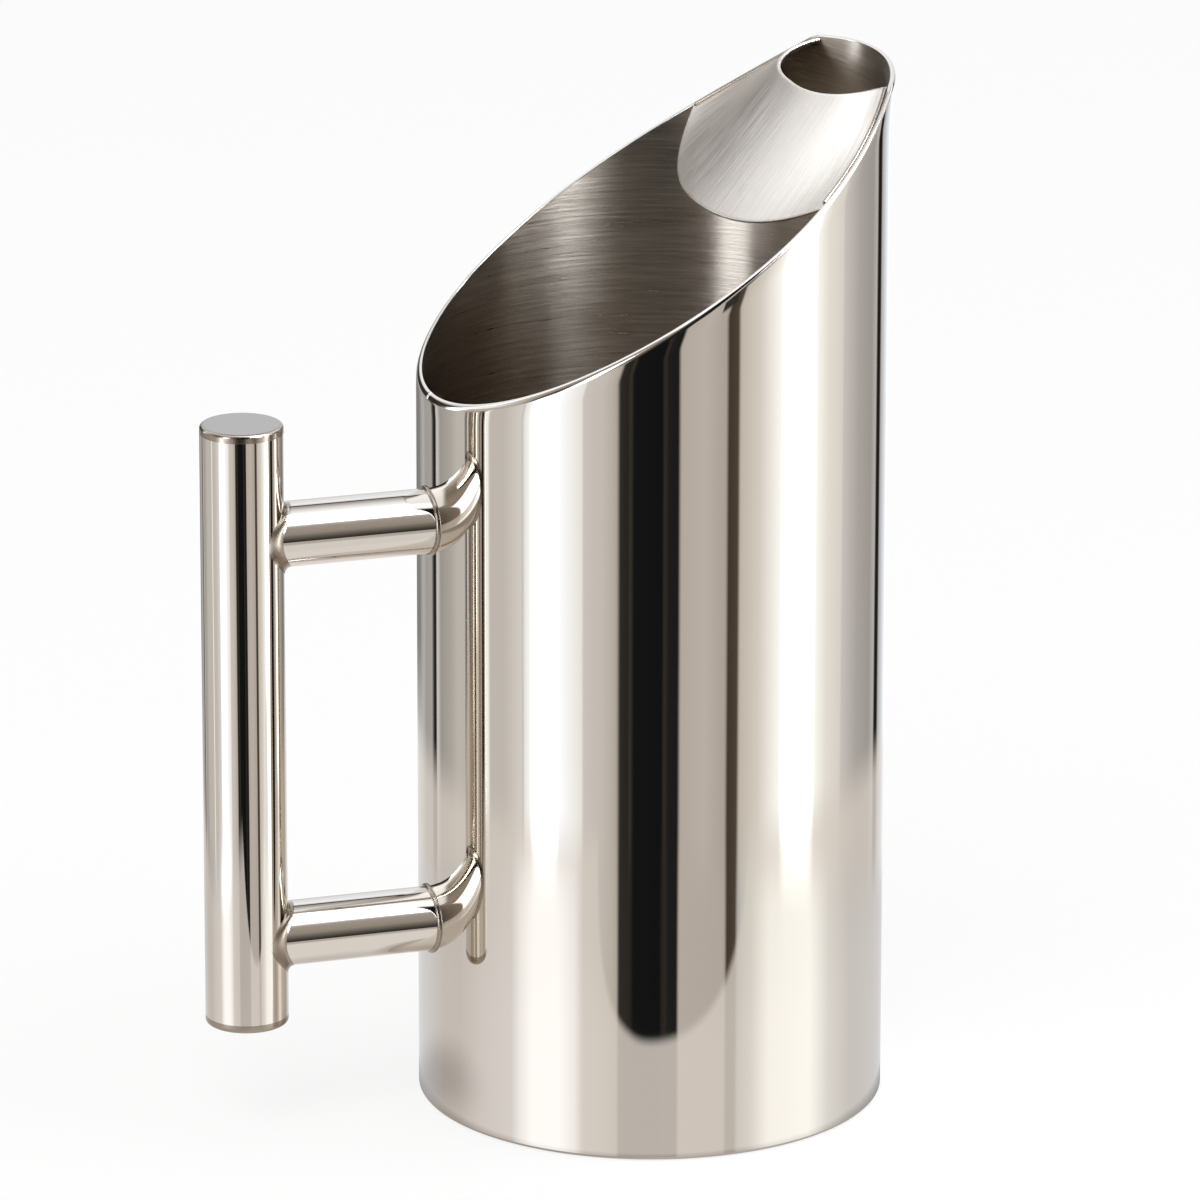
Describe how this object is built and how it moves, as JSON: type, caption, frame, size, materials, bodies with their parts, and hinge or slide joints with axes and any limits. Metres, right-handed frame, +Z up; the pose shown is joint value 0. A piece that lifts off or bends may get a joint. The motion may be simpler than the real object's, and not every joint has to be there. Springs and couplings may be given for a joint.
{
  "type": "water jug",
  "caption": "Tall cylindrical stainless steel water jug with a slanted spout, an ice guard with a round pouring hole, and a straight tubular handle on two arms.",
  "frame": {"origin": "centre of the body's flat base, on the surface that the jug stands on", "axes": "+Z up along the body, +X from the body's axis towards the spout, the handle on the -X side"},
  "size_m": [0.1629, 0.108, 0.2446],
  "materials": {
    "mirror_steel": "mirror polished",
    "brushed_steel": "brushed",
    "satin_steel": "satin"
  },
  "bodies": {
    "root": {"body_tube": "mirror_steel", "base_disc": "brushed_steel", "base_weld": "brushed_steel", "ice_guard": "brushed_steel", "guard_weld_left": "mirror_steel", "guard_weld_right": "mirror_steel", "grip_tube": "mirror_steel", "grip_cap_top": "satin_steel", "grip_cap_bottom": "satin_steel", "upper_arm": "mirror_steel", "lower_arm": "mirror_steel", "upper_body_weld": "mirror_steel", "lower_body_weld": "mirror_steel", "upper_grip_weld": "mirror_steel", "lower_grip_weld": "mirror_steel"}
  },
  "joints": []
}
